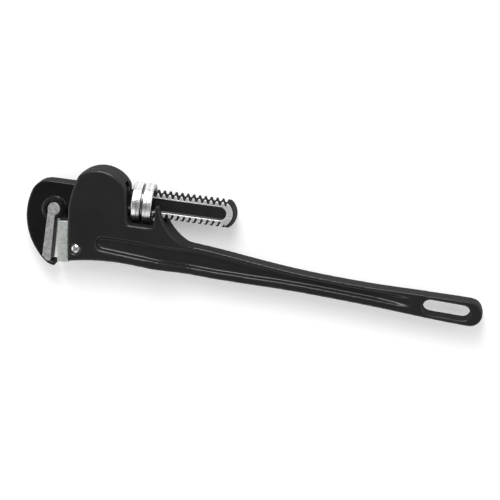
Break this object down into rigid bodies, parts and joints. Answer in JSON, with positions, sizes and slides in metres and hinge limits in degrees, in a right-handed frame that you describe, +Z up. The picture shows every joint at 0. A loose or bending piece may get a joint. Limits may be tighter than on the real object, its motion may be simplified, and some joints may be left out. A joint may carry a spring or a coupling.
{
  "type": "pipe wrench",
  "caption": "Straight pipe wrench with a hooded cast handle, sliding threaded hook jaw, knurled adjusting nut, toothed heel jaw and a hanging slot.",
  "frame": {"origin": "on the cheek face that it rests on, straight below the shank's axis at the hood", "axes": "+X along the shank from the jaws to the handle's end, +Y towards the crown of the hood, +Z up across the head's thickness"},
  "size_m": [0.4541, 0.1058, 0.04],
  "materials": {
    "housing_enamel": "semi-gloss black baked enamel on ductile iron",
    "hook_oxide": "forged steel, black oxide, oiled",
    "insert_steel": "hardened tool steel, ground",
    "heel_steel": "hardened tool steel, ground",
    "nut_zinc": "turned steel, bright zinc plated",
    "pin_steel": "bright drawn steel",
    "spring_steel": "blued spring steel, oiled"
  },
  "bodies": {
    "frame": {"handle_housing": "housing_enamel", "heel_jaw": "heel_steel", "heel_jaw_pin": "pin_steel", "coil_spring": "spring_steel"},
    "spring_leaf": {"flat_spring": "spring_steel", "spring_rivet": "pin_steel"},
    "nut": {"adjusting_nut": "nut_zinc"},
    "hook": {"hook_jaw": "hook_oxide", "hook_jaw_insert": "insert_steel"}
  },
  "joints": [
    {"name": "jaw_rock", "type": "hinge", "parent": "frame", "child": "spring_leaf", "pos_m": [0.045, 0, 0.02], "axis": [0, 0, 1], "range_deg": [-2, 0], "stiffness_Nm_per_rad": 12, "springref_deg": 6.88, "deforming": ["coil_spring"]},
    {"name": "nut_turn", "type": "hinge", "parent": "spring_leaf", "child": "nut", "pos_m": [0.045, 0, 0.02], "axis": [1, 0, 0], "range_deg": [-112, 4035]},
    {"name": "jaw_slide", "type": "slide", "parent": "spring_leaf", "child": "hook", "axis": [-1, 0, 0], "range_m": [-0.0018, 0.065]}
  ],
  "couplings": [
    {"joint": "nut_turn", "follows": "jaw_slide", "rad_per_m": 1083.3}
  ]
}
